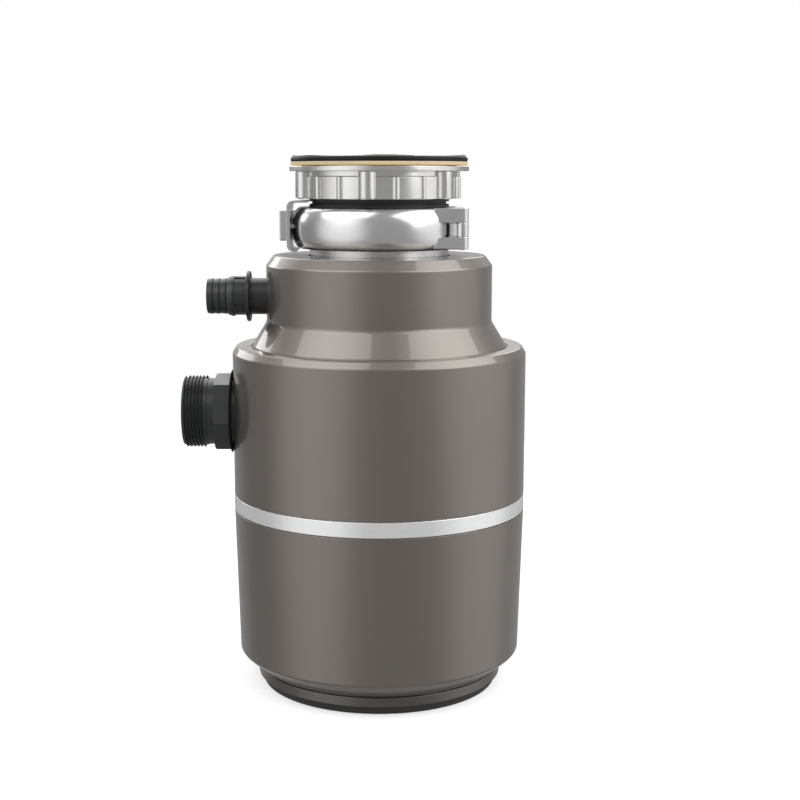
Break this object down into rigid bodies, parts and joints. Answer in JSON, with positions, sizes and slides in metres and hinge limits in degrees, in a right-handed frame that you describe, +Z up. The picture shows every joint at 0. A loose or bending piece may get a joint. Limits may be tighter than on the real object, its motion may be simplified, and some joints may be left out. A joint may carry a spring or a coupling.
{
  "type": "food waste disposer",
  "caption": "Kitchen food waste disposer: round casing with a hinged sink clamp, threaded waste outlet and barbed dishwasher inlet, motor and grinder inside.",
  "frame": {"origin": "centre of the foot's underside, on the machine's axis", "axes": "+Z up along the machine's axis to the sink; the waste outlet and the dishwasher inlet face -X; the front, as pictured, faces -Y"},
  "size_m": [0.2269, 0.1949, 0.3521],
  "materials": {
    "shell_paint": "gloss metallic taupe under clear coat",
    "polished_steel": "polished",
    "cast_clamp": "polished casting",
    "nut_metal": "satin",
    "flange_steel": "fine brushed",
    "black_rubber": "matt",
    "black_plastic": "satin",
    "fibre": "pressed fibre, matt",
    "red_plastic": "gloss",
    "dark_plastic": "matt",
    "housing_plastic": "matt, moulded",
    "foam": "foam, matt",
    "stainless": "brushed",
    "fastener_steel": "zinc plated",
    "die_cast": "as cast",
    "core_iron": "laminated, varnished",
    "copper_wire": "varnished copper",
    "bronze": "sintered",
    "can_paint": "satin"
  },
  "bodies": {
    "casing": {"foot_ring": "black_rubber", "base_cap": "shell_paint", "base_screws": "fastener_steel", "lower_shell": "shell_paint", "trim_band": "polished_steel", "main_shell": "shell_paint", "upper_shell": "shell_paint", "cable_grommet": "black_rubber", "reset_spring": "fastener_steel", "overload_protector": "dark_plastic", "start_capacitor": "can_paint", "capacitor_clip": "fastener_steel", "lower_end_bell": "die_cast", "lower_bearing": "bronze", "thrust_washer": "fastener_steel", "stator_core": "core_iron", "stator_windings": "copper_wire", "tie_bolts": "fastener_steel", "upper_end_bell": "die_cast", "upper_bearing": "bronze", "shaft_seal": "black_rubber", "housing_screws": "fastener_steel", "discharge_housing": "housing_plastic", "outlet_adapter": "black_plastic", "outlet_washer": "black_rubber", "grind_ring": "stainless", "chamber_gasket": "black_rubber", "chamber_screws": "fastener_steel", "grind_chamber": "stainless", "sound_liner": "foam", "dishwasher_inlet": "black_plastic", "inlet_seal": "black_rubber", "splash_guard": "black_rubber", "mount_collar": "black_rubber", "sink_flange": "flange_steel", "fibre_gasket": "fibre", "rubber_gasket": "black_rubber", "clamp_rear": "cast_clamp", "hinge_pin": "fastener_steel"},
    "clamp_front_half": {"clamp_front": "cast_clamp", "clamp_bracket": "cast_clamp", "bracket_pins": "fastener_steel"},
    "clamp_screw": {"clamp_screw": "fastener_steel"},
    "mount_nut": {"mount_nut": "nut_metal"},
    "rotor": {"motor_shaft": "stainless", "rotor_core": "core_iron", "turntable": "stainless", "turntable_nut": "fastener_steel", "impeller_pins": "fastener_steel"},
    "impeller_left": {"impeller_left": "stainless"},
    "impeller_right": {"impeller_right": "stainless"},
    "reset_button": {"reset_button": "red_plastic"}
  },
  "joints": [
    {"name": "clamp_swing", "type": "hinge", "parent": "casing", "child": "clamp_front_half", "pos_m": [0.0524, -0.0387, 0.305], "axis": [0, 0, 1], "range_deg": [0, 90]},
    {"name": "clamp_tighten", "type": "slide", "parent": "casing", "child": "clamp_screw", "axis": [0, -1, 0], "range_m": [0, 0.0105]},
    {"name": "nut_turn", "type": "hinge", "parent": "casing", "child": "mount_nut", "pos_m": [0, 0, 0.335], "axis": [0, 0, 1], "continuous": true},
    {"name": "rotor_spin", "type": "hinge", "parent": "casing", "child": "rotor", "pos_m": [0, 0, 0.12], "axis": [0, 0, 1], "continuous": true},
    {"name": "impeller_left_swing", "type": "hinge", "parent": "rotor", "child": "impeller_left", "pos_m": [-0.04, 0, 0.211], "axis": [0, 0, 1], "continuous": true},
    {"name": "impeller_right_swing", "type": "hinge", "parent": "rotor", "child": "impeller_right", "pos_m": [0.04, 0, 0.211], "axis": [0, 0, 1], "continuous": true},
    {"name": "reset_press", "type": "slide", "parent": "casing", "child": "reset_button", "axis": [0, 0, 1], "range_m": [0, 0.0025], "stiffness_N_per_m": 500, "deforming": ["reset_spring"]}
  ]
}
